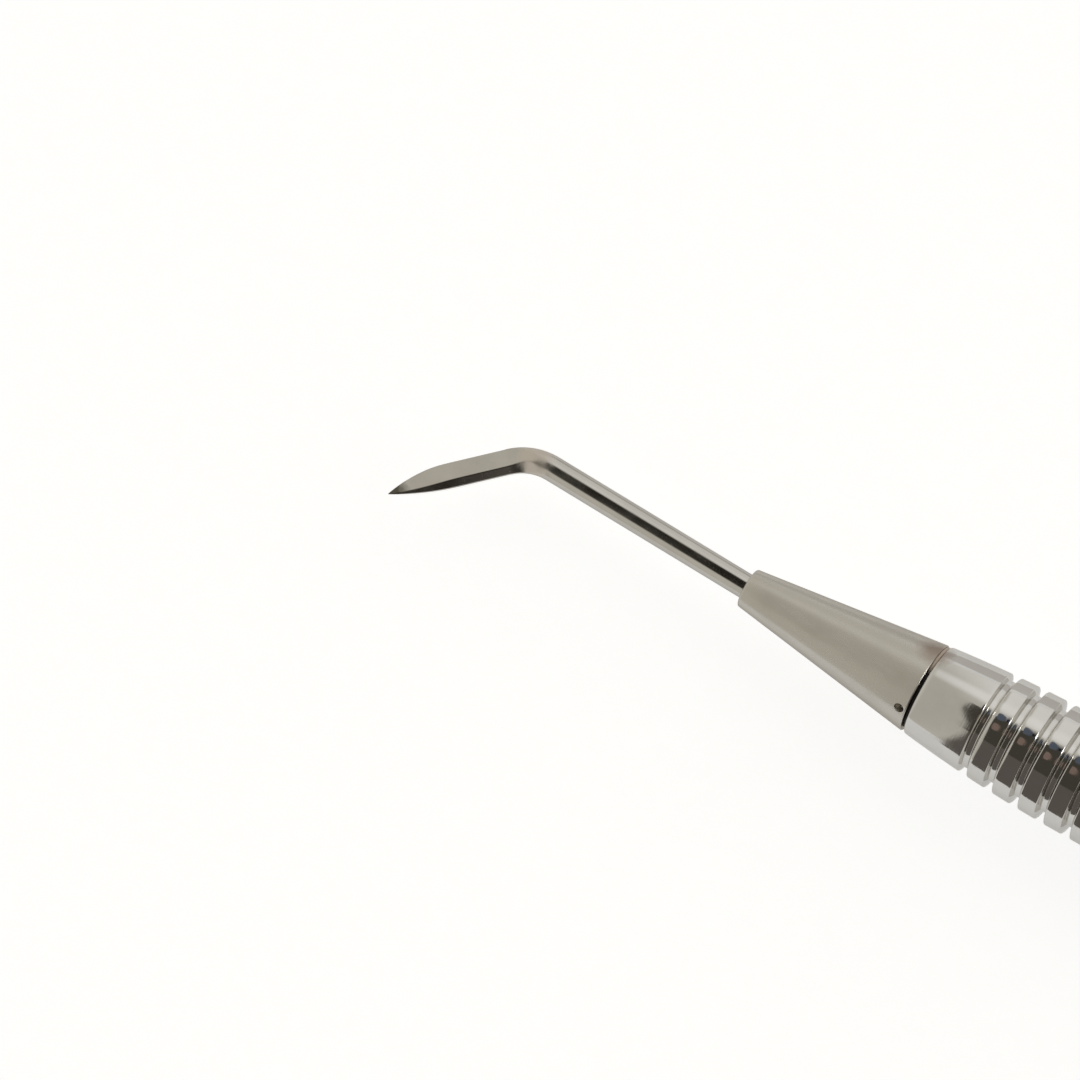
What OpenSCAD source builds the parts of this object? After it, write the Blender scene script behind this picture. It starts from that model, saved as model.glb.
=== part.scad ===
// Double-ended dental hand scaler with two screw-in working ends.
// The handle lies along X with its middle at the origin, and both blades bend in the XY plane.
// End B is drawn at +X, and end A is the same end turned half round about Z.
// Screw threads are drawn as plain cylinders at the crest of the thread.

/* [Handle] */
// Distance between the middles of the two seams
seam_span = 78.8; // [74:0.2:90]
// Diameter over the ribs and the plain middle band
handle_d = 9.5; // [9:0.1:11]
// Diameter at each seam, where the nose of the handle meets the cone
nose_d = 7.75; // [7.5:0.05:8]
// Length over which the nose swells to the full diameter
nose_len = 14.2; // [12:0.1:16]
// Diameter of the bore that runs through the handle
bore_d = 6.0; // [5.4:0.1:6.4]

/* [Grip grooves] */
// Number of grooves on each side of the middle band
groove_count = 12; // [6:1:12]
// Distance from the seam to the middle of the first groove
first_groove = 5.85; // [5:0.05:6.5]
// Distance from one groove to the next
groove_pitch = 2.4; // [2:0.1:2.4]
// Diameter at the floor of a groove
groove_floor_d = 7.8; // [7.6:0.1:8.2]
// Width of a groove at its mouth
groove_mouth = 0.9; // [0.7:0.05:1.1]
// Width of a groove at its floor
groove_floor = 0.5; // [0.3:0.05:0.6]

/* [Screw joint] */
// Crest diameter of the thread on the stud
thread_d = 4.0; // [3.5:0.1:4.2]
// Pitch of the thread
thread_pitch = 0.7; // [0.5:0.05:0.8]
// Whole turns of thread behind the seam
stud_turns = 9; // [6:1:9]
// Radial clearance between the stud and the threaded insert
thread_clearance = 0.05; // [0.02:0.01:0.1]
// Diameter of the relieved neck behind the cone
neck_d = 3.2; // [2.8:0.1:3.3]
// Length of the relieved neck
neck_len = 1.1; // [0.8:0.1:1.5]
// Length of the threaded insert
insert_len = 9.0; // [7:0.5:12]
// Thickness of the seal washer, which is also the width of the seam
washer_t = 0.3; // [0.2:0.05:0.5]
// Outside diameter of the seal washer
washer_d = 7.0; // [6.6:0.1:7.2]
// Hole through the seal washer
washer_hole_d = 3.4; // [3.4:0.1:3.8]
// Chamfer on both edges of the seam
seam_chamfer = 0.08; // [0.05:0.01:0.12]

/* [Cone] */
// Length of the cone from the seam to its front face
cone_len = 16.6; // [14:0.2:20]
// Diameter of the cone at its front
cone_front_d = 3.3; // [3:0.1:4]
// Radius that rounds the front edge of the cone
cone_round = 0.45; // [0.2:0.05:0.5]
// Diameter of the recess around the shank
recess_d = 2.5; // [2.4:0.05:2.7]
// Depth of the recess around the shank
recess_depth = 1.0; // [0.5:0.1:2]
// Diameter of the blind hole for a pin spanner
spanner_d = 0.8; // [0.5:0.05:1]
// Depth of the spanner hole
spanner_depth = 0.8; // [0.5:0.1:1.2]
// Distance from the seam to the middle of the spanner hole
spanner_from_seam = 0.8; // [0.7:0.05:2]
// Angle of the spanner hole round the cone, from the top towards the blade's side
spanner_angle = 40; // [0:5:90]

/* [Working end] */
// Diameter of the tang and the shank
shank_d = 2.1; // [1.8:0.05:2.1]
// Length of the tang inside the cone, from the floor of the recess
tang_len = 8.0; // [6:0.5:8]
// Distance from the seam to the corner of the bend, along the handle's axis
bend_from_seam = 37.0; // [32:0.5:42]
// Lean of the shank away from the blade's side
shank_lean = 1.7; // [0.5:0.1:3]
// Angle of the bend between the shank and the blade
bend_angle = 44; // [30:0.5:60]
// Radius of the bend at the middle of the rod
bend_r = 4.8; // [2:0.1:5]

/* [Blade] */
// Length from the corner of the bend to the point
blade_len = 12.0; // [11:0.1:14]
// Width of the blade from its back to its face
blade_w = 2.1; // [2.05:0.01:2.3]
// Distance from the corner of the bend to where the back begins to curve
back_from = 6.8; // [6:0.1:8]
// Distance from the corner of the bend to where the face begins to curve
face_from = 6.0; // [5:0.1:8]
// Offset of the point from the middle line, towards the face
point_offset = 0.29; // [0:0.01:0.4]
// Width of the point
point_w = 0.04; // [0.02:0.01:0.1]
// Half of the blade's thickness at the point
point_half_t = 0.1; // [0.05:0.01:0.2]
// Lean of the two side facets towards the back
facet_lean = 18; // [12:1:22]
// Half of the blade's thickness where the two side facets run level
flat_half_t = 0.59; // [0.5:0.01:0.7]
// Distance from the corner of the bend to where the facets become level
flat_from = 3.2; // [3:0.1:3.6]
// Slope of the two side facets towards the point
facet_dive = 5.5; // [5:0.1:6]

/* [Hidden] */
$fn = 96;

handle_r = handle_d / 2;
nose_r = nose_d / 2;
bore_r = bore_d / 2;
seam_x = seam_span / 2;
tube_end = seam_x - washer_t / 2;
nose_steps = 10;

thread_r = thread_d / 2;
insert_mouth = 0.25;
stud_len = stud_turns * thread_pitch;
stud_tip_chamfer = 0.4;

cone_back = washer_t / 2;
cone_half_angle = atan((nose_r - cone_front_d / 2) / cone_len);
cone_round_steps = 8;
recess_floor = cone_len - recess_depth;

shank_r = shank_d / 2;
blade_r = blade_w / 2;
lean_r = 8;
lean_run = lean_r * tan(shank_lean / 2);
lean_corner = recess_floor + lean_run;
shank_len = (bend_from_seam - lean_corner) / cos(shank_lean);
bend_run = bend_r * tan(bend_angle / 2);
flare_len = 1.0;
facet_reach = 40;
facet_clear = blade_r + point_offset * sin(facet_lean) + 0.02;

// Each straight stretch of rod runs a little way into the bend, which is a hair thicker
bend_lap = 0.05;
bend_swell = 0.005;
blade_start = bend_run - bend_lap;

// Radius of an arc that leaves a straight edge smoothly and drops by drop over run
function arc_radius(run, drop) = (run * run + drop * drop) / (2 * drop);

back_r = arc_radius(blade_len - back_from, blade_r + point_offset - point_w / 2);
face_r = arc_radius(blade_len - face_from, blade_r - point_offset - point_w / 2);

// Outline of the handle: an arc swells each nose to the full diameter
nose_arc = arc_radius(nose_len, handle_r - nose_r);
nose_start = seam_x - nose_len;
function arc_drop(x) = nose_arc - sqrt(nose_arc * nose_arc - x * x);
function handle_radius(x) = handle_r - arc_drop(max(0, x - nose_start));

function groove_x(k) = seam_x - first_groove - groove_pitch * k;
function groove_points(x) = [
    [handle_radius(x - groove_mouth / 2), x - groove_mouth / 2],
    [groove_floor_d / 2, x - groove_floor / 2],
    [groove_floor_d / 2, x + groove_floor / 2],
    [handle_radius(x + groove_mouth / 2), x + groove_mouth / 2]
];

nose_from = groove_x(0) + groove_mouth / 2;
nose_to = tube_end - seam_chamfer;
half_outline = [
    for (k = [groove_count - 1:-1:0]) each groove_points(groove_x(k)),
    for (i = [1:nose_steps])
        let (x = nose_from + (nose_to - nose_from) * i / nose_steps)
        [handle_radius(x), x],
    [handle_radius(tube_end) - seam_chamfer, tube_end]
];
half_count = len(half_outline);
mirrored_outline = [
    for (i = [half_count - 1:-1:0]) [half_outline[i][0], -half_outline[i][1]]
];

// Turns a profile of [radius, x] points about the X axis
module turned(points) {
    rotate([0, 90, 0])
        rotate_extrude()
            polygon(points);
}

// Moves a shape drawn from the seam outwards to end B
module at_b() {
    translate([seam_x, 0, 0])
        children();
}

// Moves the same shape to end A
module at_a() {
    rotate([0, 0, 180])
        at_b()
            children();
}

module tube() {
    turned(concat(
        mirrored_outline,
        half_outline,
        [[bore_r, tube_end], [bore_r, -tube_end]]
    ));
}

module threaded_insert() {
    hole_r = thread_r + thread_clearance;
    front = -cone_back;
    back = front - insert_len;
    turned([
        [hole_r + insert_mouth, front],
        [bore_r, front],
        [bore_r, back],
        [hole_r + insert_mouth, back],
        [hole_r, back + insert_mouth],
        [hole_r, front - insert_mouth]
    ]);
}

module seal_washer() {
    turned([
        [washer_hole_d / 2, -cone_back],
        [washer_d / 2, -cone_back],
        [washer_d / 2, cone_back],
        [washer_hole_d / 2, cone_back]
    ]);
}

// Radius of the cone's side at a distance x in front of the seam
function cone_radius(x) = nose_r - x * tan(cone_half_angle);

// The cone's side, its rounded front edge and the threaded stud behind it
module cone_body() {
    round_x = cone_len - cone_round;
    round_y = cone_radius(round_x) - cone_round / cos(cone_half_angle);
    front_edge = [
        for (i = [0:cone_round_steps])
            let (a = cone_half_angle + (90 - cone_half_angle) * i / cone_round_steps)
            [round_y + cone_round * cos(a), round_x + cone_round * sin(a)]
    ];
    turned(concat(
        [
            [0, -stud_len],
            [thread_r - stud_tip_chamfer, -stud_len],
            [thread_r, -stud_len + stud_tip_chamfer],
            [thread_r, -neck_len],
            [neck_d / 2, -neck_len + (thread_d - neck_d) / 2],
            [neck_d / 2, cone_back],
            [cone_radius(cone_back) - seam_chamfer, cone_back],
            [cone_radius(cone_back + seam_chamfer), cone_back + seam_chamfer]
        ],
        front_edge,
        [[0, cone_len]]
    ));
}

module cone() {
    difference() {
        cone_body();
        translate([recess_floor - tang_len, 0, 0])
            rotate([0, 90, 0])
                cylinder(d = shank_d, h = tang_len + recess_depth + 1);
        translate([recess_floor, 0, 0])
            rotate([0, 90, 0])
                cylinder(d = recess_d, h = recess_depth + 1);
        translate([spanner_from_seam, 0, 0])
            rotate([-spanner_angle, 0, 0])
                translate([0, 0, cone_radius(spanner_from_seam) - spanner_depth])
                    cylinder(d = spanner_d, h = spanner_depth + 1);
    }
}

// Side view of the blade from the end of the bend: its back is at -Y and its face at +Y
module blade_outline() {
    difference() {
        translate([blade_start, -blade_r])
            square([blade_len - blade_start, blade_w]);
        difference() {
            translate([back_from, -blade_w])
                square([blade_len, blade_w]);
            translate([back_from, back_r - blade_r])
                circle(r = back_r, $fn = 360);
        }
        difference() {
            translate([face_from, 0])
                square([blade_len, blade_w]);
            translate([face_from, blade_r - face_r])
                circle(r = face_r, $fn = 360);
        }
    }
}

// Everything below one side facet. It leans towards the back, runs level along the blade
// and slopes down to the point. Near the bend it rises until it leaves the rod.
module below_facet() {
    slope = tan(facet_dive);
    slope_from = blade_len - (flat_half_t - point_half_t) / slope;
    translate([0, point_offset, 0])
        rotate([90 + facet_lean, 0, 0])
            linear_extrude(height = facet_reach, center = true)
                polygon([
                    [0, facet_clear],
                    [blade_start, facet_clear],
                    [flat_from, flat_half_t],
                    [slope_from, flat_half_t],
                    [blade_len + 1, point_half_t - slope],
                    [blade_len + 1, -facet_reach],
                    [0, -facet_reach]
                ]);
}

module blade() {
    intersection() {
        translate([0, 0, -blade_w])
            linear_extrude(height = 2 * blade_w)
                blade_outline();
        rotate([0, 90, 0])
            union() {
                translate([0, 0, blade_start])
                    cylinder(r1 = shank_r, r2 = blade_r, h = flare_len);
                translate([0, 0, blade_start + flare_len])
                    cylinder(r = blade_r, h = blade_len);
            }
        below_facet();
        mirror([0, 0, 1])
            below_facet();
    }
}

// A bend of the round rod, drawn around the corner where its two middle lines cross.
// The rod comes in along X and leaves towards +Y.
module elbow(radius, angle) {
    translate([-radius * tan(angle / 2), radius, 0])
        rotate([0, 0, -90])
            rotate_extrude(angle = angle)
                translate([radius, 0])
                    circle(r = shank_r + bend_swell);
}

module rod(from_x, to_x) {
    translate([from_x, 0, 0])
        rotate([0, 90, 0])
            cylinder(d = shank_d, h = to_x - from_x);
}

// One piece: a tang in the cone, a straight shank, a bend and the blade
module working_end() {
    rod(recess_floor - tang_len, recess_floor + bend_lap);
    translate([lean_corner, 0, 0]) {
        mirror([0, 1, 0])
            elbow(lean_r, shank_lean);
        rotate([0, 0, -shank_lean]) {
            rod(lean_run - bend_lap, shank_len - bend_run + bend_lap);
            translate([shank_len, 0, 0]) {
                elbow(bend_r, bend_angle);
                rotate([0, 0, bend_angle])
                    blade();
            }
        }
    }
}

module handle_tube() {
    color([0.66, 0.64, 0.61])
        tube();
}

module threaded_insert_a() {
    color([0.72, 0.70, 0.66])
        at_a() threaded_insert();
}

module seal_washer_a() {
    color([0.06, 0.06, 0.06])
        at_a() seal_washer();
}

module cone_a() {
    color([0.63, 0.60, 0.56])
        at_a() cone();
}

module working_end_a() {
    color([0.60, 0.58, 0.55])
        at_a() working_end();
}

module threaded_insert_b() {
    color([0.72, 0.70, 0.66])
        at_b() threaded_insert();
}

module seal_washer_b() {
    color([0.06, 0.06, 0.06])
        at_b() seal_washer();
}

module cone_b() {
    color([0.63, 0.60, 0.56])
        at_b() cone();
}

module working_end_b() {
    color([0.60, 0.58, 0.55])
        at_b() working_end();
}

handle_tube();
threaded_insert_a();
seal_washer_a();
cone_a();
working_end_a();
threaded_insert_b();
seal_washer_b();
cone_b();
working_end_b();
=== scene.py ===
"""Looks of a double-ended hand scaler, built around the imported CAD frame.

Every piece is a dense turned or lofted mesh with rounded edges and real screw threads.
End B lies at +X and end A is the same end turned half round about Z.
Lengths are in millimetres until a mesh is made, and Blender's own unit is the metre.
"""

import math

import bpy
from mathutils import Matrix, Vector

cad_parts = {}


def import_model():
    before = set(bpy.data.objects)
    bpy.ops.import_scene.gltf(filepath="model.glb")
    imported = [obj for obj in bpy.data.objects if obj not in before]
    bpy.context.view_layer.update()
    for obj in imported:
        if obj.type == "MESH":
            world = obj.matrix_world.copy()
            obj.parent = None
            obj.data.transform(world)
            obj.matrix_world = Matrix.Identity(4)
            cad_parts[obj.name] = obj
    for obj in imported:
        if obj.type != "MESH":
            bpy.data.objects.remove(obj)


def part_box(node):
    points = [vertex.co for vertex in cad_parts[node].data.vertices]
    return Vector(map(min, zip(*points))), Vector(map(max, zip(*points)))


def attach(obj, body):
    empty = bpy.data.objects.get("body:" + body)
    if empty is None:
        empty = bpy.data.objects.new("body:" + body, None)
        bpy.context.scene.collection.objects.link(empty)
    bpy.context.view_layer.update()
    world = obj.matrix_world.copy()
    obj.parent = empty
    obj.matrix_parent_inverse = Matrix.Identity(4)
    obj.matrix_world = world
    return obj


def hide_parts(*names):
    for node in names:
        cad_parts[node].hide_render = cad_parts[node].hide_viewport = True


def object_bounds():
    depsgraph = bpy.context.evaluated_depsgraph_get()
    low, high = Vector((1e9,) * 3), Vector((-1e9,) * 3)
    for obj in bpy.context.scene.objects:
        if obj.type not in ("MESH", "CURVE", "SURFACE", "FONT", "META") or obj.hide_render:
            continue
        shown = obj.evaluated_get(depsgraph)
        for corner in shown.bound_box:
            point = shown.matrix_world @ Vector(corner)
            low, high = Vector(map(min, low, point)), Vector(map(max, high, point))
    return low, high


MM = 0.001
TURN = 2 * math.pi
HALF_TURN = Matrix.Rotation(math.pi, 4, "Z")


# ---------------------------------------------------------------- frame

def millimetres(node):
    """Lowest and highest corner of a CAD node, in millimetres."""
    lo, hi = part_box(node)
    return lo / MM, hi / MM


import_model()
cad_lo, cad_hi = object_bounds()

tube_lo, tube_hi = millimetres("handle_tube")
seal_lo, seal_hi = millimetres("seal_washer_b")
cone_lo, cone_hi = millimetres("cone_b")
insert_lo, insert_hi = millimetres("threaded_insert_b")

TUBE_END = tube_hi.x
HANDLE_R = tube_hi.y
SEAM_X = (seal_lo.x + seal_hi.x) / 2
HALF_SEAL = (seal_hi.x - seal_lo.x) / 2
SEAL_R = seal_hi.y
STUD_LEN = SEAM_X - cone_lo.x
CONE_LEN = cone_hi.x - SEAM_X
INSERT_R = insert_hi.y
INSERT_LEN = insert_hi.x - insert_lo.x
FLOOR_Z = cad_lo.z

# Handle. It swells from the seam to its full radius over NOSE_LEN, and FIRST_GROOVE is the
# distance from the seam to the middle of the first groove.
NOSE_R = 3.875
NOSE_LEN = 14.2
SEAM_CHAMFER = 0.08
GROOVE_COUNT = 12
FIRST_GROOVE = 5.85
GROOVE_PITCH = 2.4
GROOVE_FLOOR_R = 3.9
GROOVE_MOUTH = 0.9
GROOVE_FLOOR = 0.5
HANDLE_SEGMENTS = 180

# Screw. The insert has no thread over INSERT_RELIEF, where the stud's thread runs out.
THREAD_R = 2.0
THREAD_PITCH = 0.7
THREAD_CLEARANCE = 0.05
STUD_THREAD_DEPTH = 0.42
INSERT_THREAD_DEPTH = 0.38
STUD_TIP_CHAMFER = 0.4
NECK_R = 1.6
NECK_LEN = 1.1
INSERT_MOUTH = 0.25
INSERT_RELIEF = 0.75

# Seal. It is squeezed out of the seam by up to SQUEEZE.
WASHER_HOLE_R = 1.7
SEAL_GAP = 0.004
SQUEEZE = 0.27

# Cone. The recess is the shallow well round the shank, and the spanner hole is in its side.
CONE_FRONT_R = 1.65
CONE_ROUND = 0.45
RECESS_R = 1.25
RECESS_DEPTH = 1.0
SPANNER_R = 0.4
SPANNER_DEPTH = 0.8
SPANNER_FROM_SEAM = 0.8
SPANNER_ANGLE = math.radians(40)

# Working end. Distances named FROM and FULL run along the blade from the corner of the bend.
SHANK_R = 1.05
TANG_LEN = 8.0
TANG_CHAMFER = 0.15
BEND_FROM_SEAM = 37.0
SHANK_LEAN = math.radians(1.7)
LEAN_BEND_R = 8.0
BEND_ANGLE = math.radians(44)
BEND_R = 4.8
BLADE_LEN = 12.0
BLADE_R = 1.05
BACK_FROM = 6.8
FACE_FROM = 6.0
POINT_OFFSET = 0.29
POINT_W = 0.04
POINT_HALF_T = 0.1
FLAT_HALF_T = 0.59
FACET_LEAN = math.radians(18)
FACET_SLOPE = math.tan(math.radians(5.5))
FACET_FROM = -1.0
FACET_FULL = 2.2
BEVEL_SLOPE = math.tan(math.radians(40))
EDGE_HALF_T = 0.12
BEVEL_FROM = -1.0
BEVEL_FULL = 0.6
BLADE_SEGMENTS = 144


# ---------------------------------------------------------------- meshes

def skin(name, rings, closed=False, materials=(), material_of=None):
    """Makes an object from rings of points, in millimetres. A ring of one point closes an end.
    closed joins the last ring to the first. material_of(i, j) picks the slot of each face."""
    verts = []
    starts = []
    for ring in rings:
        starts.append(len(verts))
        verts.extend(Vector(p) * MM for p in ring)
    faces = []
    slots = []
    last = len(rings) if closed else len(rings) - 1
    for i in range(last):
        k = (i + 1) % len(rings)
        a, b = starts[i], starts[k]
        na, nb = len(rings[i]), len(rings[k])
        for j in range(max(na, nb)):
            n = (j + 1) % max(na, nb)
            if na == 1:
                faces.append((a, b + n, b + j))
            elif nb == 1:
                faces.append((a + j, a + n, b))
            else:
                faces.append((a + j, a + n, b + n, b + j))
            slots.append(material_of(i, j) if material_of else 0)
    mesh = bpy.data.meshes.new(name)
    mesh.from_pydata(verts, [], faces)
    mesh.polygons.foreach_set("material_index", slots)
    mesh.polygons.foreach_set("use_smooth", [True] * len(faces))
    for material in materials:
        mesh.materials.append(material)
    mesh.validate()
    obj = bpy.data.objects.new(name, mesh)
    bpy.context.scene.collection.objects.link(obj)
    return obj


def turned(name, profile, segments, closed=False, wave=None, **keep):
    """Turns a profile of (x, radius) about the X axis. wave(x, radius, angle) may change the radius."""
    rings = []
    for x, r in profile:
        if r <= 0:
            rings.append([(x, 0, 0)])
            continue
        ring = []
        for j in range(segments):
            angle = TURN * j / segments
            rr = wave(x, r, angle) if wave else r
            ring.append((x, rr * math.cos(angle), rr * math.sin(angle)))
        rings.append(ring)
    return skin(name, rings, closed, **keep)


def rounded(points, steps=5):
    """Rounds the corners of a profile. Each point is (x, radius) or (x, radius, corner_round)."""
    out = []
    for i, point in enumerate(points):
        here = Vector(point[:2])
        size = point[2] if len(point) > 2 else 0
        if not size or i in (0, len(points) - 1):
            out.append(tuple(here))
            continue
        back = Vector(points[i - 1][:2]) - here
        on = Vector(points[i + 1][:2]) - here
        half = back.angle(on) / 2
        run = min(size / math.tan(half), 0.48 * back.length, 0.48 * on.length)
        radius = run * math.tan(half)
        start = here + back.normalized() * run
        end = here + on.normalized() * run
        centre = here + (back.normalized() + on.normalized()).normalized() * (radius / math.sin(half))
        for k in range(steps + 1):
            spoke = (start - centre).slerp(end - centre, k / steps).normalized() * radius
            out.append(tuple(centre + spoke))
    return out


def weighted_normals(obj):
    """Keeps wide faces flat to the light and lets only the narrow rounded edges turn."""
    modifier = obj.modifiers.new("weighted_normals", "WEIGHTED_NORMAL")
    modifier.weight = 100
    modifier.keep_sharp = True
    return obj


def cut(obj, cutter):
    """Cuts one closed mesh out of another and keeps the result as plain mesh data."""
    modifier = obj.modifiers.new("cut", "BOOLEAN")
    modifier.operation = "DIFFERENCE"
    modifier.solver = "EXACT"
    modifier.object = cutter
    done = obj.evaluated_get(bpy.context.evaluated_depsgraph_get())
    mesh = bpy.data.meshes.new_from_object(done)
    obj.modifiers.clear()
    obj.data = mesh
    bpy.data.objects.remove(cutter)
    return obj


# ---------------------------------------------------------------- shapes

def arc_radius(run, drop):
    """Radius of an arc that leaves a straight edge smoothly and drops by drop over run."""
    return (run * run + drop * drop) / (2 * drop)


def arc_drop(radius, x):
    """How far such an arc has dropped at a distance x from its start."""
    return radius - math.sqrt(radius * radius - max(0, x) ** 2)


def eased(value, start, end):
    """Rises smoothly from 0 at start to 1 at end."""
    t = min(1, max(0, (value - start) / (end - start)))
    return t * t * (3 - 2 * t)


NOSE_ARC = arc_radius(NOSE_LEN, HANDLE_R - NOSE_R)


def handle_radius(x):
    """Radius of the handle without its grooves."""
    return HANDLE_R - arc_drop(NOSE_ARC, abs(x) - (SEAM_X - NOSE_LEN))


def groove(x):
    """The four corners of one groove, from its -X side to its +X side."""
    mouth, floor = GROOVE_MOUTH / 2, GROOVE_FLOOR / 2
    edge_round, floor_round = 0.1, 0.12
    return [
        (x - mouth, handle_radius(x - mouth), edge_round),
        (x - floor, GROOVE_FLOOR_R, floor_round),
        (x + floor, GROOVE_FLOOR_R, floor_round),
        (x + mouth, handle_radius(x + mouth), edge_round),
    ]


def swell(from_x, to_x, steps):
    """Points along the smooth swell of the handle, without its two ends."""
    span = to_x - from_x
    xs = [from_x + span * k / steps for k in range(1, steps)]
    return [(x, handle_radius(x)) for x in xs]


def handle_profile():
    """Outline of the handle, from its bore at -X over the outside to its bore at +X."""
    side = []
    middles = [SEAM_X - FIRST_GROOVE - GROOVE_PITCH * k for k in range(GROOVE_COUNT)]
    for k, x in enumerate(reversed(middles)):
        side += groove(x)
        edge = x + GROOVE_MOUTH / 2
        if k == GROOVE_COUNT - 1:
            side += swell(edge, TUBE_END - SEAM_CHAMFER, 24)
        else:
            side += swell(edge, edge + GROOVE_PITCH - GROOVE_MOUTH, 4)
    nose_round = 0.03
    side += [
        (TUBE_END - SEAM_CHAMFER, handle_radius(TUBE_END), nose_round),
        (TUBE_END, handle_radius(TUBE_END) - SEAM_CHAMFER, nose_round),
    ]
    mirrored = [(-p[0], *p[1:]) for p in reversed(side)]
    bore_edge = 0.05
    inner = [(TUBE_END, INSERT_R, bore_edge), (-TUBE_END, INSERT_R, bore_edge)]
    return rounded([inner[1]] + mirrored + side + [inner[0]], steps=3)


def thread_wave(x, angle):
    """0 at the crest of the stud's thread and 1 at its root, for a right-hand thread about X."""
    crest_share, root_share = 0.14, 0.26
    phase = (x / THREAD_PITCH - angle / TURN) % 1
    away = abs(phase - 0.5) * 2
    return min(1, max(0, (1 - away - crest_share) / (1 - crest_share - root_share)))


def evenly(from_x, to_x, radius, spacing=0.05):
    """Points at one radius, close enough together to carry a thread."""
    count = max(2, round(abs(to_x - from_x) / spacing))
    return [(from_x + (to_x - from_x) * k / count, radius) for k in range(count + 1)]


def cone_radius(x):
    """Radius of the cone's side at a distance x in front of the seam."""
    return NOSE_R + (CONE_FRONT_R - NOSE_R) * x / CONE_LEN


def stud_wave(x, r, angle):
    """Cuts the thread into the stud, fading out at the neck and the tip."""
    tiny = 1e-6
    shoulder = THREAD_R - NECK_R
    from_seam = SEAM_X - x
    on_stud = NECK_LEN - shoulder <= from_seam < STUD_LEN
    if not on_stud or not NECK_R - tiny <= r <= THREAD_R + tiny:
        return r
    fade = min(1, max(0, (from_seam - NECK_LEN + 0.15) / 0.5))
    return min(r, THREAD_R - STUD_THREAD_DEPTH * fade * thread_wave(x, angle))


def cone_profile():
    """Outline of one cone with its stud, from the tip of the stud to the bottom of the tang hole."""
    slope = math.atan((NOSE_R - CONE_FRONT_R) / CONE_LEN)
    back = HALF_SEAL
    recess_floor = CONE_LEN - RECESS_DEPTH
    shoulder = -NECK_LEN + (THREAD_R - NECK_R)
    stud = [(-STUD_LEN, 0), (-STUD_LEN, THREAD_R - STUD_TIP_CHAMFER - 0.05)]
    stud += evenly(-STUD_LEN + 0.01, -STUD_LEN + STUD_TIP_CHAMFER, THREAD_R)
    chamfered = [
        (x, min(r, THREAD_R - STUD_TIP_CHAMFER + (x + STUD_LEN))) if r else (x, r) for x, r in stud
    ]
    stud = chamfered + evenly(-STUD_LEN + STUD_TIP_CHAMFER, -NECK_LEN, THREAD_R)[1:]
    side = rounded([
        stud[-1],
        (shoulder, NECK_R, 0.1),
        (back, NECK_R, 0.1),
        (back, cone_radius(back) - SEAM_CHAMFER, 0.03),
        (back + SEAM_CHAMFER, cone_radius(back + SEAM_CHAMFER), 0.03),
        (CONE_LEN - 2, cone_radius(CONE_LEN - 2)),
        (CONE_LEN, cone_radius(CONE_LEN), CONE_ROUND * math.cos(slope)),
        (CONE_LEN, RECESS_R, 0.08),
        (recess_floor, RECESS_R, 0.08),
        (recess_floor, SHANK_R, 0.03),
        (recess_floor - TANG_LEN, SHANK_R),
        (recess_floor - TANG_LEN, 0),
    ], steps=7)
    return [(SEAM_X + x, r) for x, r in stud[:-1] + side]


def insert_profile():
    """Outline of one threaded insert: its outside, then its threaded hole."""
    hole_r = THREAD_R + THREAD_CLEARANCE
    front = SEAM_X - HALF_SEAL
    back = front - INSERT_LEN
    edge = 0.06
    outside = rounded([
        (back + INSERT_MOUTH, hole_r),
        (back, hole_r + INSERT_MOUTH, edge),
        (back, INSERT_R, edge),
        (front, INSERT_R, edge),
        (front, hole_r + INSERT_MOUTH, edge),
        (front - INSERT_MOUTH, hole_r),
    ])
    hole = evenly(front - INSERT_MOUTH, back + INSERT_MOUTH, hole_r)
    return outside + hole[1:-1]


def insert_wave(x, r, angle):
    """Raises the thread inside the insert, in step with the stud's."""
    tiny = 1e-6
    hole_r = THREAD_R + THREAD_CLEARANCE
    if r > hole_r + tiny:
        return r
    front = SEAM_X - HALF_SEAL
    run_out = 0.35
    from_end = min(front - x - INSERT_RELIEF, x - (front - INSERT_LEN)) - INSERT_MOUTH
    fade = min(1, max(0, from_end / run_out))
    return hole_r - INSERT_THREAD_DEPTH * fade * thread_wave(x, angle)


def seal_wave(x, r, angle):
    """The washer is squeezed out a little on its -Y side."""
    rim_depth = 0.2
    if r < SEAL_R - rim_depth:
        return r
    return r + SQUEEZE * eased(-math.cos(angle), 0.15, 0.65)


def seal_profile():
    """Outline of one seal washer, a hair thinner than the seam, with a soft rim."""
    half = HALF_SEAL - SEAL_GAP
    rim, hole_edge = 0.11, 0.04
    corners = [
        (SEAM_X + half, WASHER_HOLE_R, hole_edge),
        (SEAM_X - half, WASHER_HOLE_R, hole_edge),
        (SEAM_X - half, SEAL_R, rim),
        (SEAM_X + half, SEAL_R, rim),
    ]
    wrapped = rounded([corners[-1]] + corners + [corners[0]])
    return wrapped[1:-1]


# ---------------------------------------------------------------- working end

class Walk:
    """Walks along the middle line of a rod and notes a station at each step: (x, y, heading)."""

    def __init__(self, x, y=0.0, heading=0.0):
        self.x, self.y, self.heading = x, y, heading
        self.stations = [(x, y, heading)]

    def straight(self, length, steps=1):
        for _ in range(steps):
            self.x += math.cos(self.heading) * length / steps
            self.y += math.sin(self.heading) * length / steps
            self.stations.append((self.x, self.y, self.heading))

    def bend(self, radius, angle, steps):
        chord = 2 * radius * math.sin(abs(angle) / steps / 2)
        for _ in range(steps):
            self.heading += angle / steps / 2
            self.x += math.cos(self.heading) * chord
            self.y += math.sin(self.heading) * chord
            self.heading += angle / steps / 2
            self.stations.append((self.x, self.y, self.heading))


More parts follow.
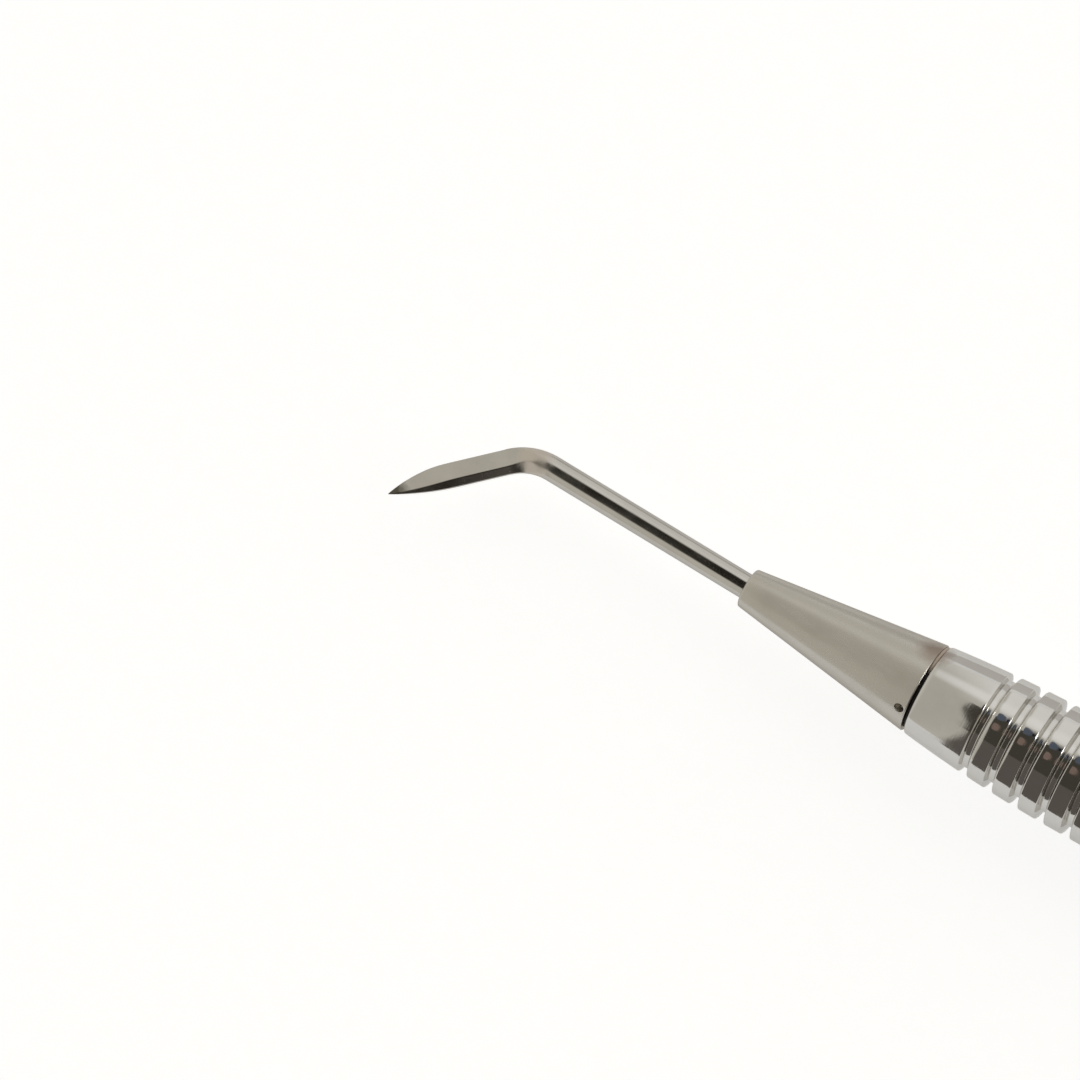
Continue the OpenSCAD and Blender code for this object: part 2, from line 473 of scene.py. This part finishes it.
RECESS_FLOOR = CONE_LEN - RECESS_DEPTH
LEAN_RUN = LEAN_BEND_R * math.tan(SHANK_LEAN / 2)
SHANK_LEN = (BEND_FROM_SEAM - RECESS_FLOOR - LEAN_RUN) / math.cos(SHANK_LEAN)
BEND_RUN = BEND_R * math.tan(BEND_ANGLE / 2)
BEND = Vector((SEAM_X + BEND_FROM_SEAM, -SHANK_LEN * math.sin(SHANK_LEAN), 0))
BLADE_HEADING = BEND_ANGLE - SHANK_LEAN
BLADE_ALONG = Vector((math.cos(BLADE_HEADING), math.sin(BLADE_HEADING), 0))
BLADE_ACROSS = Vector((-math.sin(BLADE_HEADING), math.cos(BLADE_HEADING), 0))
POINT = BEND + BLADE_ALONG * BLADE_LEN + BLADE_ACROSS * POINT_OFFSET

BACK_ARC = arc_radius(BLADE_LEN - BACK_FROM, BLADE_R + POINT_OFFSET - POINT_W / 2)
FACE_ARC = arc_radius(BLADE_LEN - FACE_FROM, BLADE_R - POINT_OFFSET - POINT_W / 2)
FACET_CLEAR = BLADE_R + POINT_OFFSET * math.sin(FACET_LEAN) + 0.02

# The rod is the first of the limits that blade_limits and bend_limits give.
ROD = 0


def reach(distance, slope):
    """How far a flat surface lies in a direction that meets it at the given slope."""
    far = 100.0
    return distance / slope if slope > distance / far else far


def facet_limits(u, angle, middle):
    """The two side facets. They lean to the back, run level along the blade and slope to the point,
    and they rise clear of the rod in the bend."""
    sloped = POINT_HALF_T + FACET_SLOPE * (BLADE_LEN - u)
    ground = blended((sloped, FLAT_HALF_T), sharpness=16)
    height = FACET_CLEAR + (ground - FACET_CLEAR) * eased(u, FACET_FROM, FACET_FULL)
    lean_s, lean_c = math.sin(FACET_LEAN), math.cos(FACET_LEAN)
    height += lean_s * (middle - POINT_OFFSET)
    c, s = math.cos(angle), math.sin(angle)
    return reach(height, lean_c * s - lean_s * c), reach(height, -lean_c * s - lean_s * c)


def bevel_limits(u, angle, middle, edge):
    """The two bevels that run along the face edge. They fade out at the bend."""
    uncut = SHANK_R * math.hypot(BEVEL_SLOPE, 1)
    ground = BEVEL_SLOPE * edge + EDGE_HALF_T
    bevel = uncut + (ground - uncut) * eased(u, BEVEL_FROM, BEVEL_FULL) - BEVEL_SLOPE * middle
    c, s = math.cos(angle), math.sin(angle)
    return reach(bevel, BEVEL_SLOPE * c + s), reach(bevel, BEVEL_SLOPE * c - s)


def blade_limits(u, angle):
    """The middle of the blade's section, and how far each of its surfaces lies from there.
    u is the distance from the corner of the bend; angle is measured from the face towards +Z."""
    back = -BLADE_R + arc_drop(BACK_ARC, u - BACK_FROM)
    face = BLADE_R - arc_drop(FACE_ARC, u - FACE_FROM)
    middle = (back + face) / 2
    c, s = math.cos(angle), math.sin(angle)
    return middle, (
        -middle * c + math.sqrt(BLADE_R * BLADE_R - (middle * s) ** 2),
        reach(middle - back, -c),
        reach(face - middle, c),
        *facet_limits(u, angle, middle),
        *bevel_limits(u, angle, middle, face),
    )


def bend_limits(u, angle):
    """The same for the round bend, where u is below the start of the blade."""
    return 0.0, (SHANK_R, *facet_limits(u, angle, 0), *bevel_limits(u, angle, 0, BLADE_R))


def blended(limits, sharpness=36):
    """The nearest limit, with the corners between limits slightly rounded."""
    nearest = min(limits)
    return nearest * sum((nearest / v) ** sharpness for v in limits) ** (-1 / sharpness)


def section(station, middle, reach):
    """One ring of the rod or blade. reach(angle) gives its size in each direction."""
    x, y, heading = station
    c, s = math.cos(heading), math.sin(heading)
    ring = []
    for j in range(BLADE_SEGMENTS):
        angle = TURN * j / BLADE_SEGMENTS
        size = reach(angle)
        across = middle + size * math.cos(angle)
        ring.append((x - s * across, y + c * across, size * math.sin(angle)))
    return ring


def working_end(name, materials):
    """Tang, shank, bend and blade as one smooth loft. Slot 1 is the ground blade."""
    walk = Walk(SEAM_X + RECESS_FLOOR - TANG_LEN)
    walk.straight(TANG_CHAMFER)
    walk.straight(TANG_LEN - TANG_CHAMFER, 4)
    walk.bend(LEAN_BEND_R, -SHANK_LEAN, 6)
    walk.straight(SHANK_LEN - LEAN_RUN - BEND_RUN, 40)
    x, y, heading = walk.stations[0]
    rings = [[(x, y, 0)], section(walk.stations[0], 0, lambda angle: SHANK_R - TANG_CHAMFER)]
    rings += [section(station, 0, lambda angle: SHANK_R) for station in walk.stations[1:]]

    bend_steps, blade_steps = 30, 150
    rod_count = len(walk.stations)
    walk.bend(BEND_R, BEND_ANGLE, bend_steps)
    walk.straight(BLADE_LEN - BEND_RUN, blade_steps)
    winners = {}
    for k, station in enumerate(walk.stations[rod_count:], 1):
        if k <= bend_steps:
            u = BEND_RUN - BEND_R * BEND_ANGLE * (1 - k / bend_steps)
            limits_at = bend_limits
        else:
            u = BEND_RUN + (BLADE_LEN - BEND_RUN) * (k - bend_steps) / blade_steps
            limits_at = blade_limits
        middle = limits_at(u, 0)[0]
        rings.append(section(station, middle, lambda angle: blended(limits_at(u, angle)[1])))
        for j in range(BLADE_SEGMENTS):
            limits = limits_at(u, TURN * (j + 0.5) / BLADE_SEGMENTS)[1]
            winners[len(rings) - 2, j] = limits.index(min(limits))
    tip = blade_limits(BLADE_LEN, 0)[0]
    rings.append([(walk.x - math.sin(walk.heading) * tip, walk.y + math.cos(walk.heading) * tip, 0)])

    def slot(i, j):
        return 1 if winners.get((i, j), ROD) != ROD else 0

    return skin(name, rings, materials=materials, material_of=slot)


# ---------------------------------------------------------------- materials

class Nodes:
    """Short names for building one node tree."""

    def __init__(self, tree):
        self.tree = tree

    def add(self, kind, **values):
        """Adds a node. A value is a node property, an input's value, or a socket to link."""
        node = self.tree.nodes.new(kind)
        for key, value in values.items():
            name = key.replace("_", " ")
            if hasattr(node, key) and key not in ("inputs", "outputs"):
                setattr(node, key, value)
                continue
            socket = self.socket(node, key, name)
            if isinstance(value, bpy.types.NodeSocket):
                self.tree.links.new(value, socket)
            else:
                socket.default_value = value
        return node

    @staticmethod
    def socket(node, key, name):
        if key.startswith("in") and key[2:].isdigit():
            return node.inputs[int(key[2:])]
        by_lower = {i.name.lower(): i for i in node.inputs}
        return by_lower[name.lower()]

    def noise(self, vector, scale, detail=3.0, roughness=0.5):
        """A value that wanders about 0.5. scale is in waves per metre."""
        node = self.add("ShaderNodeTexNoise", Vector=vector, Scale=scale, Detail=detail,
                        Roughness=roughness)
        return node.outputs["Fac"]

    def stretched(self, vector, scale, rotation=(0, 0, 0)):
        """The coordinates scaled apart along the three axes, after a turn."""
        turned_node = self.add("ShaderNodeMapping", Vector=vector, Rotation=rotation)
        scaled = self.add("ShaderNodeMapping", Vector=turned_node.outputs[0], Scale=scale)
        return scaled.outputs[0]

    def ramp(self, value, from_lo, from_hi, to_lo=0.0, to_hi=1.0):
        """Maps one range to another, and holds the end values beyond it."""
        node = self.add("ShaderNodeMapRange", in0=value, in1=from_lo, in2=from_hi, in3=to_lo,
                        in4=to_hi)
        return node.outputs[0]

    def math(self, operation, a, b):
        return self.add("ShaderNodeMath", operation=operation, in0=a, in1=b).outputs[0]

    def mix(self, factor, a, b):
        """Mixes two colours."""
        node = self.add("ShaderNodeMix", data_type="RGBA", in0=factor)
        for socket, value in ((node.inputs[6], a), (node.inputs[7], b)):
            if isinstance(value, bpy.types.NodeSocket):
                self.tree.links.new(value, socket)
            else:
                socket.default_value = (*value, 1)
        return node.outputs[2]

    def lerp(self, factor, a, b):
        """Mixes two numbers."""
        return self.add("ShaderNodeMix", data_type="FLOAT", in0=factor, in2=a, in3=b).outputs[0]

    def bump(self, height, distance, normal=None):
        """Raises the surface by distance where height is 1. distance is in metres."""
        node = self.add("ShaderNodeBump", Height=height, Distance=distance)
        if normal is not None:
            self.tree.links.new(normal, node.inputs["Normal"])
        return node.outputs[0]


def new_material(name):
    """An empty node material, its nodes, and the coordinates in the object's own frame."""
    material = bpy.data.materials.new(name)
    material.use_nodes = True
    material.node_tree.nodes.clear()
    nodes = Nodes(material.node_tree)
    place = nodes.add("ShaderNodeTexCoord").outputs["Object"]
    return material, nodes, place


def finish_material(material, nodes, shader):
    out = nodes.add("ShaderNodeOutputMaterial")
    nodes.tree.links.new(shader.outputs[0], out.inputs["Surface"])
    return material


def scratches(nodes, place, turns, density):
    """A sparse mask of hair-thin straight scratches that run in several directions."""
    total = None
    for k, turn in enumerate(turns):
        lines = nodes.stretched(place, (160, 9000, 9000), turn)
        streak = nodes.ramp(nodes.noise(lines, 1.0, 2.0), 0.70 - density, 0.76 - density)
        total = streak if total is None else nodes.math("MAXIMUM", total, streak)
    return total


def near(nodes, place, centre, inner, outer):
    """1 within the inner distance of a point of end B or its twin on end A, 0 beyond the outer.
    The border is a little ragged."""
    away = [
        nodes.add("ShaderNodeVectorMath", operation="DISTANCE", in0=place,
                  in1=tuple(point * MM)).outputs["Value"]
        for point in (centre, HALF_TURN @ centre)
    ]
    ragged = nodes.ramp(nodes.noise(place, 1500.0), 0.0, 1.0, -0.5 * MM, 0.5 * MM)
    nearest = nodes.math("ADD", nodes.math("MINIMUM", *away), ragged)
    return nodes.ramp(nearest, inner * MM, outer * MM, 1.0, 0.0)


def steel(name, bright, dull, roughness, edge, lines, line_depth, scratch_density=0.0,
          stain=(0.42, 0.33, 0.24), stain_amount=0.0, tints=()):
    """Bare steel: fine tool lines, a few hair scratches, and patches that are a little duller.
    lines is how closely the tool lines follow each other along X, Y and Z, per metre.
    tints are round marks, each (centre, inner radius, outer radius, colour, roughness)."""
    material, nodes, place = new_material(name)
    tool = nodes.noise(nodes.stretched(place, lines), 1.0, 6.0, 0.65)
    patches = nodes.noise(place, 420.0, 4.0, 0.55)
    smudges = nodes.noise(nodes.stretched(place, (300, 900, 900)), 1.0, 3.0)
    marks = scratches(nodes, place, ((0.3, 0.2, 0.5), (0.9, -0.4, 1.3), (-0.5, 1.1, 2.2)),
                      scratch_density)
    colour = nodes.mix(nodes.ramp(patches, 0.3, 0.7), bright, dull)
    if stain_amount:
        stained = nodes.math("MULTIPLY", nodes.ramp(smudges, 0.52, 0.72), stain_amount)
        colour = nodes.mix(stained, colour, stain)
    rough = nodes.ramp(patches, 0.25, 0.75, roughness[0], roughness[1])
    rough = nodes.math("ADD", rough, nodes.ramp(smudges, 0.5, 0.75, 0.0, 0.05))
    rough = nodes.math("ADD", rough, nodes.math("MULTIPLY", marks, 0.08))
    for centre, inner, outer, tint, tint_rough in tints:
        mask = near(nodes, place, centre, inner, outer)
        colour = nodes.mix(mask, colour, tint)
        rough = nodes.lerp(mask, rough, tint_rough)
    normal = nodes.bump(tool, line_depth)
    scratch_depth = 0.0000006
    normal = nodes.bump(marks, -scratch_depth, normal=normal)
    shader = nodes.add("ShaderNodeBsdfPrincipled", Base_Color=colour, Metallic=1.0,
                       Roughness=rough, Normal=normal)
    shader.inputs["Specular Tint"].default_value = (*edge, 1)
    return finish_material(material, nodes, shader)


def rubber(name):
    """Black seal rubber, faintly mottled and dusty. The rim squeezed out of the seam is painted light
    brown, a painted highlight where light falls into the seam.
    """
    material, nodes, place = new_material(name)
    grain = nodes.noise(place, 9000.0, 5.0, 0.6)
    dust = nodes.noise(place, 900.0, 4.0, 0.6)
    colour = nodes.mix(nodes.ramp(dust, 0.45, 0.75), (0.012, 0.011, 0.010), (0.035, 0.031, 0.027))
    split = nodes.add("ShaderNodeSeparateXYZ", Vector=place).outputs
    across = nodes.add("ShaderNodeCombineXYZ", Y=split[1], Z=split[2]).outputs[0]
    from_axis = nodes.add("ShaderNodeVectorMath", operation="LENGTH", in0=across).outputs["Value"]
    # Painted highlight: the part of the rim that is squeezed out of the seam is painted light brown.
    squeezed = nodes.ramp(from_axis, (SEAL_R + 0.06) * MM, (SEAL_R + 0.20) * MM)
    colour = nodes.mix(squeezed, colour, (0.60, 0.50, 0.42))
    rough = nodes.ramp(grain, 0.3, 0.7, 0.55, 0.75)
    shader = nodes.add("ShaderNodeBsdfPrincipled", Base_Color=colour, Roughness=rough,
                       Normal=nodes.bump(grain, 0.000006))
    return finish_material(material, nodes, shader)


# Round marks: centre, inner radius, outer radius, colour and roughness
# A duller brown patch on the handle and cone beside the seam, on one side of each end.
SEAM_BROWN_PATCH = (Vector((SEAM_X + 0.45, -3.0, 2.4)), 0.5, 1.8, (0.43, 0.36, 0.31), 0.34)
# Painted highlight: a rougher patch round the bend, painted lighter than the shank where the rod would
# otherwise mirror a dark streak.
BEND_ROUGH_PAINTED_HIGHLIGHT = (BEND - Vector((0.5, 0, 0)), 1.1, 1.85, (0.71, 0.655, 0.59), 0.45)
# Painted shade: the point of the blade is painted near black, standing in for the shade at the point.
POINT_PAINTED_SHADE = (POINT, 0.8, 1.9, (0.13, 0.12, 0.095), 0.3)
handle_steel = steel(
    "handle_steel", bright=(0.78, 0.77, 0.75), dull=(0.74, 0.73, 0.705), roughness=(0.045, 0.085),
    edge=(0.85, 0.84, 0.82), lines=(9000, 60, 60), line_depth=0.0000009, tints=(SEAM_BROWN_PATCH,))
insert_steel = steel(
    "insert_steel", bright=(0.72, 0.70, 0.66), dull=(0.62, 0.60, 0.56), roughness=(0.22, 0.34),
    edge=(0.85, 0.84, 0.82), lines=(7000, 80, 80), line_depth=0.000003)
cone_steel = steel(
    "cone_steel", bright=(0.675, 0.65, 0.60), dull=(0.65, 0.625, 0.575), roughness=(0.24, 0.29),
    edge=(0.62, 0.60, 0.57), lines=(8000, 70, 70), line_depth=0.0000008, stain_amount=0.06,
    tints=(SEAM_BROWN_PATCH,))
shank_steel = steel(
    "shank_steel", bright=(0.66, 0.64, 0.605), dull=(0.60, 0.58, 0.545), roughness=(0.09, 0.15),
    edge=(0.70, 0.69, 0.66), lines=(500, 9000, 9000), line_depth=0.0000010,
    tints=(BEND_ROUGH_PAINTED_HIGHLIGHT,))
ground_steel = steel(
    "ground_steel", bright=(0.64, 0.62, 0.585), dull=(0.57, 0.55, 0.515), roughness=(0.16, 0.24),
    edge=(0.70, 0.69, 0.66), lines=(9000, 900, 900), line_depth=0.0000016,
    tints=(BEND_ROUGH_PAINTED_HIGHLIGHT, POINT_PAINTED_SHADE))
seal_rubber = rubber("seal_rubber")


# ---------------------------------------------------------------- pieces

def placed(obj, end, body, nodes):
    """Turns a piece made for end B to its own end, gives it its body, and hides the CAD nodes that it
    stands for.
    """
    if end == "a":
        obj.data.transform(HALF_TURN)
    weighted_normals(obj)
    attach(obj, body)
    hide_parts(*nodes)
    return obj


def spanner_cutter():
    """A blind round hole in the side of the cone, with a broken edge."""
    top = cone_radius(SPANNER_FROM_SEAM)
    rim, clear = 0.05, 0.5
    profile = rounded([
        (top - SPANNER_DEPTH, 0),
        (top - SPANNER_DEPTH, SPANNER_R, 0.08),
        (top - rim, SPANNER_R),
        (top + clear, SPANNER_R + rim + clear),
        (top + clear, 0),
    ])
    cutter = turned("spanner_cutter", profile, 48)
    upright = Matrix.Rotation(-math.pi / 2, 4, "Y")
    lean = Matrix.Rotation(-SPANNER_ANGLE, 4, "X")
    along = Matrix.Translation(((SEAM_X + SPANNER_FROM_SEAM) * MM, 0, 0))
    cutter.data.transform(along @ lean @ upright)
    return cutter


def handle():
    """The ribbed handle."""
    obj = turned("handle_tube_turned", handle_profile(), HANDLE_SEGMENTS, closed=True,
                 materials=[handle_steel])
    weighted_normals(obj)
    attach(obj, "handle")
    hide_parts("handle_tube")


def end_pieces(end):
    """Insert, seal, cone and working end of one end of the instrument."""
    insert = turned(f"threaded_insert_{end}_turned", insert_profile(), 120, closed=True,
                    wave=insert_wave, materials=[insert_steel])
    placed(insert, end, "handle", [f"threaded_insert_{end}"])
    seal = turned(f"seal_washer_{end}_moulded", seal_profile(), 160, closed=True,
                  wave=seal_wave, materials=[seal_rubber])
    placed(seal, end, f"seal_{end}", [f"seal_washer_{end}"])
    cone = turned(f"cone_{end}_turned", cone_profile(), 160, wave=stud_wave, materials=[cone_steel])
    cut(cone, spanner_cutter())
    placed(cone, end, f"end_{end}", [f"cone_{end}"])
    blade = working_end(f"working_end_{end}_ground", [shank_steel, ground_steel])
    placed(blade, end, f"end_{end}", [f"working_end_{end}"])


handle()
for each_end in ("a", "b"):
    end_pieces(each_end)


# ---------------------------------------------------------------- stage and light

def floor_material():
    """Pale floor. The camera sees it near white, and the steel sees it as light grey paper."""
    material, nodes, place = new_material("floor")
    grain = nodes.noise(place, 700.0, 3.0)
    colour = nodes.mix(nodes.ramp(grain, 0.3, 0.7), (0.49, 0.487, 0.48), (0.51, 0.507, 0.50))
    paper = nodes.add("ShaderNodeBsdfDiffuse", Color=colour)
    ray = nodes.add("ShaderNodeLightPath").outputs["Is Camera Ray"]
    strength = nodes.ramp(ray, 0.0, 1.0, 0.49, 0.80)
    glow = nodes.add("ShaderNodeEmission", Color=(1, 1, 1, 1), Strength=strength)
    lit = nodes.add("ShaderNodeAddShader", in0=paper.outputs[0], in1=glow.outputs[0])
    return finish_material(material, nodes, lit)


def floor():
    """A wide plane just under the instrument."""
    half = 4.0
    mesh = bpy.data.meshes.new("floor")
    corners = [(-half, -half), (half, -half), (half, half), (-half, half)]
    mesh.from_pydata([(x, y, FLOOR_Z) for x, y in corners], [], [(0, 1, 2, 3)])
    mesh.materials.append(floor_material())
    obj = bpy.data.objects.new("floor", mesh)
    bpy.context.scene.collection.objects.link(obj)


def patch(nodes, across, along, across_span, along_span, soft):
    """A soft-edged window in the sky: 1 inside and 0 outside. Angles are in degrees.
    soft gives the half width of its edges across and along."""
    def window(value, span, edge):
        lo = nodes.ramp(value, span[0] - edge, span[0] + edge)
        hi = nodes.ramp(value, span[1] - edge, span[1] + edge, 1.0, 0.0)
        return nodes.math("MULTIPLY", lo, hi)
    return nodes.math("MULTIPLY", window(across, across_span, soft[0]),
                      window(along, along_span, soft[1]))


def world():
    """A plain studio: warm grey all round, a soft bright side at +Y, a small lamp at +X and +Y, a
    dark opening overhead and a dark corner at -Y. The camera sees it white.
    across is the angle from straight up towards -Y, and along the angle towards -X, in degrees."""
    scene_world = bpy.data.worlds.new("studio")
    bpy.context.scene.world = scene_world
    scene_world.use_nodes = True
    scene_world.node_tree.nodes.clear()
    nodes = Nodes(scene_world.node_tree)
    direction = nodes.add("ShaderNodeTexCoord").outputs["Generated"]
    split = nodes.add("ShaderNodeSeparateXYZ", Vector=direction)
    x, y, z = split.outputs
    across = nodes.math("MULTIPLY", nodes.math("ARCTAN2", nodes.math("MULTIPLY", y, -1.0), z),
                        180 / math.pi)
    along = nodes.math("MULTIPLY", nodes.math("ARCSINE", nodes.math("MULTIPLY", x, -1.0), 0.0),
                       180 / math.pi)
    colour = (0.60, 0.575, 0.515)
    dim_side = patch(nodes, across, along, (-190, 90), (16, 26), (6, 3))
    colour = nodes.mix(dim_side, colour, (0.47, 0.45, 0.40))
    bright_side = patch(nodes, across, along, (-100, -32), (-60, 18), (14, 3))
    colour = nodes.mix(bright_side, colour, (0.74, 0.725, 0.69))
    softbox = patch(nodes, across, along, (-57, -38), (-35, 22), (5, 4))
    colour = nodes.mix(softbox, colour, (0.80, 0.785, 0.755))
    rays = nodes.add("ShaderNodeLightPath").outputs
    lamp = patch(nodes, across, along, (-42, -29), (-66, -44), (2, 3))
    lamp = nodes.math("MULTIPLY", lamp, rays["Is Glossy Ray"])
    colour = nodes.mix(lamp, colour, (12.0, 11.7, 11.0))
    opening = patch(nodes, across, along, (-31, 36), (-25, 15), (5, 3))
    colour = nodes.mix(opening, colour, (0.012, 0.010, 0.007))
    round_z = nodes.math("MULTIPLY", nodes.math("ARCTAN2", x, nodes.math("MULTIPLY", y, -1.0)),
                         180 / math.pi)
    up = nodes.math("MULTIPLY", nodes.math("ARCSINE", z, 0.0), 180 / math.pi)
    dark_corner = patch(nodes, round_z, up, (12, 75), (-10, 76), (4, 4))
    colour = nodes.mix(dark_corner, colour, (0.02, 0.016, 0.012))
    colour = nodes.mix(rays["Is Camera Ray"], colour, (1.0, 1.0, 1.0))
    back = nodes.add("ShaderNodeBackground", Color=colour, Strength=1.0)
    out = nodes.add("ShaderNodeOutputWorld")
    nodes.tree.links.new(back.outputs[0], out.inputs["Surface"])


def glowing(name, colour, verts, faces):
    """A studio card of one colour, in millimetres, that only the steel's reflections see."""
    mesh = bpy.data.meshes.new(name)
    mesh.from_pydata([Vector(v) * MM for v in verts], [], faces)
    material, nodes, _ = new_material(name)
    glow = nodes.add("ShaderNodeEmission", Color=(*colour, 1), Strength=1.0)
    mesh.materials.append(finish_material(material, nodes, glow))
    obj = bpy.data.objects.new(name, mesh)
    bpy.context.scene.collection.objects.link(obj)
    obj.visible_camera = False
    obj.visible_diffuse = False
    obj.visible_shadow = False
    obj.visible_transmission = False


def around(angle, radius):
    """Y and Z of a point on a circle about the X axis. The angle is in degrees from +Z to -Y."""
    return -radius * math.sin(math.radians(angle)), radius * math.cos(math.radians(angle))


def spots(name, colour, width, angles):
    """A row of small patches over end A, one for each rib to mirror."""
    radius, steps = 12, 10
    view_lean = math.radians(10)
    verts, faces = [], []
    for k in range(GROOVE_COUNT - 1):
        rib_x = SEAM_X - FIRST_GROOVE - GROOVE_PITCH * (k + 0.5)
        slope = math.asin(max(0, rib_x - (SEAM_X - NOSE_LEN)) / NOSE_ARC)
        x = -rib_x - (radius - HANDLE_R) * math.tan(view_lean + 2 * slope)
        for i in range(steps + 1):
            y, z = around(angles[0] + (angles[1] - angles[0]) * i / steps, radius)
            half = width / 2 * math.sqrt(1 - (2 * i / steps - 1) ** 2)
            verts += [(x - half, y, z), (x + half, y, z)]
            n = len(verts)
            if i:
                faces.append((n - 4, n - 3, n - 1, n - 2))
    glowing(name, colour, verts, faces)


def card(name, colour, from_x, to_x, angles, radius, lobe):
    """A curved card about the X axis. Its -X edge bulges in a lobe (middle, half width, reach)."""
    steps = 48
    middle, half_width, reach_x = lobe
    verts = []
    for k in range(steps + 1):
        angle = angles[0] + (angles[1] - angles[0]) * k / steps
        bulge = reach_x * (1 - eased(abs(angle - middle), 0, half_width))
        y, z = around(angle, radius)
        verts += [(from_x - bulge, y, z), (to_x, y, z)]
    faces = [(2 * k, 2 * k + 1, 2 * k + 3, 2 * k + 2) for k in range(steps)]
    glowing(name, colour, verts, faces)


def back_side():
    """A greyer strip of table at +Y, which darkens the steel's upper edge."""
    lo, hi = (-95, 12), (60, 55)
    above_floor = 0.3
    z = FLOOR_Z / MM + above_floor
    verts = [(lo[0], lo[1], z), (hi[0], lo[1], z), (hi[0], hi[1], z), (lo[0], hi[1], z)]
    glowing("back_side", (0.50, 0.48, 0.45), verts, [(0, 1, 2, 3)])


def cards():
    """What the ribs mirror: a dark brown side at -Y, black overhead, and blue and pink spots."""
    far_x, back_r = 60, 50
    card("brown_card", (0.105, 0.093, 0.082), -48.4, far_x, (32, 112), back_r, (76, 40, 0.9))
    card("black_card", (0.055, 0.050, 0.040), -49.2, far_x, (-21, 33), back_r, (-4, 30, 1.8))
    spots("blue_spots", (0.085, 0.10, 0.13), 1.2, (-26, -14))
    spots("pink_spots", (0.20, 0.145, 0.12), 0.9, (-8, 5))
    back_side()


def camera():
    """A long lens that looks at end A from above, leaning towards the handle."""
    seam = -SEAM_X * MM
    frame_width = 0.0862
    distance = 1.0
    lean = math.radians(10.7)
    roll = math.radians(29.6)
    aim = Vector((seam - 0.0331, -0.00487, 0))
    to_camera = Vector((math.sin(lean), 0, math.cos(lean)))
    along = Vector((math.cos(lean), 0, -math.sin(lean)))
    side = Vector((0, 1, 0))
    right = along * math.cos(roll) + side * math.sin(roll)
    up = side * math.cos(roll) - along * math.sin(roll)
    data = bpy.data.cameras.new("camera")
    data.sensor_width = 36
    data.lens = data.sensor_width * distance / frame_width
    data.clip_start, data.clip_end = 0.05, 20
    obj = bpy.data.objects.new("camera", data)
    bpy.context.scene.collection.objects.link(obj)
    turn = Matrix((right, up, to_camera)).transposed().to_4x4()
    obj.matrix_world = Matrix.Translation(aim + to_camera * distance) @ turn
    bpy.context.scene.camera = obj


floor()
world()
cards()
camera()
bpy.context.scene.view_settings.view_transform = "Standard"
